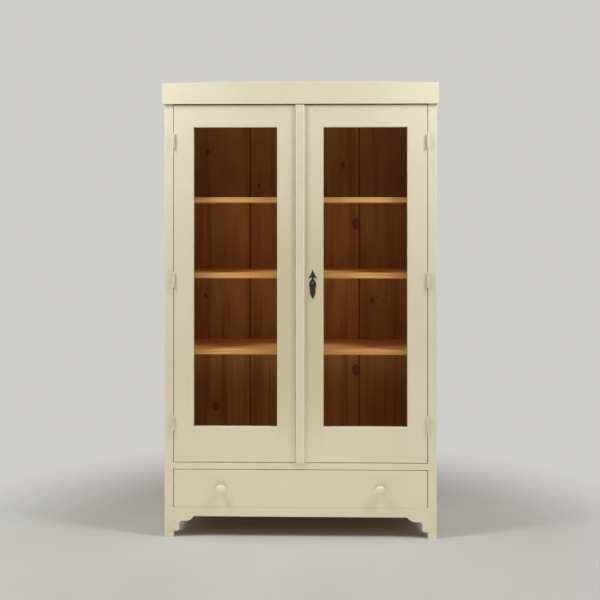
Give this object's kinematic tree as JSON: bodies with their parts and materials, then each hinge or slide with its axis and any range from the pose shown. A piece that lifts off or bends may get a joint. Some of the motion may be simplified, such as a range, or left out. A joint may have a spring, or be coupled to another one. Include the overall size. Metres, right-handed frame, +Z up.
{
  "type": "display cabinet",
  "caption": "Free-standing painted pine display cabinet with an arched cornice, a pair of glazed doors over shelves, a full-width drawer below and scrolled bracket feet.",
  "frame": {"origin": "on the floor, under the middle of the outline box", "axes": "+Z up, the front faces -Y, +X to the right as one faces the cabinet"},
  "size_m": [1.116, 0.434, 1.8459],
  "materials": {
    "paint": "satin pale olive cream paint on pine",
    "oiled_pine": "oiled honey pine",
    "stained_pine": "dark brown stained pine",
    "raw_pine": "bare aged pine",
    "glass": "clear float glass",
    "iron": "blackened forged iron",
    "hinge_paint": "painted over steel",
    "lock_steel": "aged steel"
  },
  "bodies": {
    "carcass": {"apron": "paint", "back_board_1": "stained_pine", "back_board_2": "stained_pine", "back_board_3": "stained_pine", "back_board_4": "stained_pine", "cornice_front": "paint", "cornice_return_left": "paint", "cornice_return_right": "paint", "door_stop": "paint", "drawer_runner_left": "raw_pine", "drawer_runner_right": "raw_pine", "drawer_stops": "raw_pine", "floor_board": "oiled_pine", "foot_bracket_left": "paint", "foot_bracket_right": "paint", "hinges_left_post": "hinge_paint", "hinges_right_post": "hinge_paint", "mid_rail": "paint", "post_front_left": "paint", "post_front_right": "paint", "post_rear_left": "paint", "post_rear_right": "paint", "rear_rail": "oiled_pine", "shelf_cleats_left": "oiled_pine", "shelf_cleats_right": "oiled_pine", "shelf_high": "oiled_pine", "shelf_low": "oiled_pine", "shelf_middle": "oiled_pine", "side_board_left": "paint", "side_board_right": "paint", "top_board": "paint"},
    "door_left": {"door_left_beads": "paint", "door_left_glass": "glass", "door_left_rail_bottom": "paint", "door_left_rail_top": "paint", "door_left_stile_inner": "paint", "door_left_stile_outer": "paint", "hinges_left_door": "hinge_paint", "door_bolt_plates": "lock_steel"},
    "door_right": {"door_right_beads": "paint", "door_right_glass": "glass", "door_right_rail_bottom": "paint", "door_right_rail_top": "paint", "door_right_stile_inner": "paint", "door_right_stile_outer": "paint", "hinges_right_door": "hinge_paint", "meeting_strip": "paint", "escutcheon": "iron", "lock_case": "lock_steel"},
    "drawer": {"drawer_back": "raw_pine", "drawer_floor": "raw_pine", "drawer_front": "paint", "drawer_knob_left": "paint", "drawer_knob_right": "paint", "drawer_side_left": "raw_pine", "drawer_side_right": "raw_pine"},
    "lock_bolt": {"lock_bolt": "lock_steel"},
    "bolt_upper": {"door_bolt_upper": "lock_steel"},
    "bolt_lower": {"door_bolt_lower": "lock_steel"}
  },
  "joints": [
    {"name": "door_left_hinge", "type": "hinge", "parent": "carcass", "child": "door_left", "pos_m": [-0.5137, -0.188, 1.043], "axis": [0, 0, -1], "range_deg": [0, 170]},
    {"name": "door_right_hinge", "type": "hinge", "parent": "carcass", "child": "door_right", "pos_m": [0.5137, -0.188, 1.043], "axis": [0, 0, 1], "range_deg": [0, 170]},
    {"name": "drawer_slide", "type": "slide", "parent": "carcass", "child": "drawer", "axis": [0, -1, 0], "range_m": [0, 0.25]},
    {"name": "lock_throw", "type": "slide", "parent": "door_right", "child": "lock_bolt", "axis": [-1, 0, 0], "range_m": [0, 0.014]},
    {"name": "bolt_upper_throw", "type": "slide", "parent": "door_left", "child": "bolt_upper", "axis": [0, 0, 1], "range_m": [0, 0.015]},
    {"name": "bolt_lower_throw", "type": "slide", "parent": "door_left", "child": "bolt_lower", "axis": [0, 0, -1], "range_m": [0, 0.015]}
  ]
}
